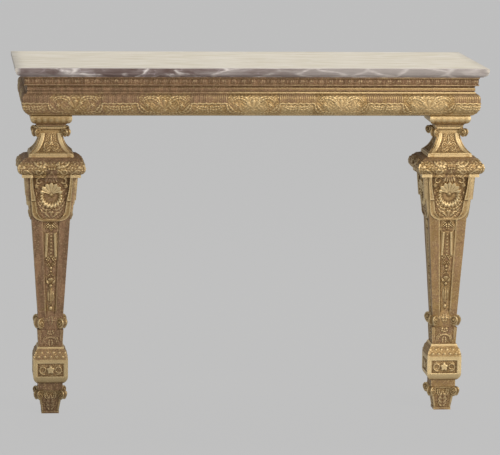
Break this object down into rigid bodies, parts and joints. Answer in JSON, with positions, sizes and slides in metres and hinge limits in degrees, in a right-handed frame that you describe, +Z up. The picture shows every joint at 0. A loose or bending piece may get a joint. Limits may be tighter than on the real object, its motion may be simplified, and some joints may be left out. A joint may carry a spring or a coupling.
{
  "type": "pier table",
  "caption": "Giltwood pier table for fixing against a wall: marble slab, cushion frieze and carved tapering front legs.",
  "frame": {"origin": "on the floor, midway across the width and the depth of the marble slab", "axes": "+Z up, the front faces -Y, the wall is at +Y, +X to the right as seen from the front"},
  "size_m": [1.18, 0.45, 0.88],
  "materials": {
    "gilding": "carved wood, water gilt over red bole, worn and toned",
    "bare_wood": "bare softwood, darkened with age",
    "marble": "polished, violet grey with pale veins"
  },
  "bodies": {
    "frame": {"front_rail": "bare_wood", "back_rail": "bare_wood", "left_rail": "bare_wood", "right_rail": "bare_wood", "left_leg_post": "gilding", "right_leg_post": "gilding", "left_bearer": "bare_wood", "right_bearer": "bare_wood", "left_corner_block": "bare_wood", "right_corner_block": "bare_wood", "joint_pegs": "bare_wood", "cornice_front": "gilding", "frieze_front": "gilding", "cornice_left": "gilding", "cornice_right": "gilding", "frieze_left": "gilding", "frieze_right": "gilding", "left_leg_capital": "gilding", "right_leg_capital": "gilding", "left_leg_neck": "gilding", "right_leg_neck": "gilding", "left_leg_shoulder": "gilding", "right_leg_shoulder": "gilding", "left_leg_shaft": "gilding", "right_leg_shaft": "gilding", "left_leg_plinth": "gilding", "right_leg_plinth": "gilding", "left_leg_foot": "gilding", "right_leg_foot": "gilding", "left_leg_loose_tenons": "bare_wood", "right_leg_loose_tenons": "bare_wood", "left_leg_strapwork": "gilding", "right_leg_strapwork": "gilding", "left_leg_shells": "gilding", "right_leg_shells": "gilding", "left_leg_pendants": "gilding", "right_leg_pendants": "gilding", "left_leg_corner_scrolls": "gilding", "right_leg_corner_scrolls": "gilding"},
    "top": {"marble_top": "marble"}
  },
  "joints": [
    {"name": "top_lift", "type": "slide", "parent": "frame", "child": "top", "axis": [0, 0, 1], "range_m": [0, 0.06]}
  ]
}
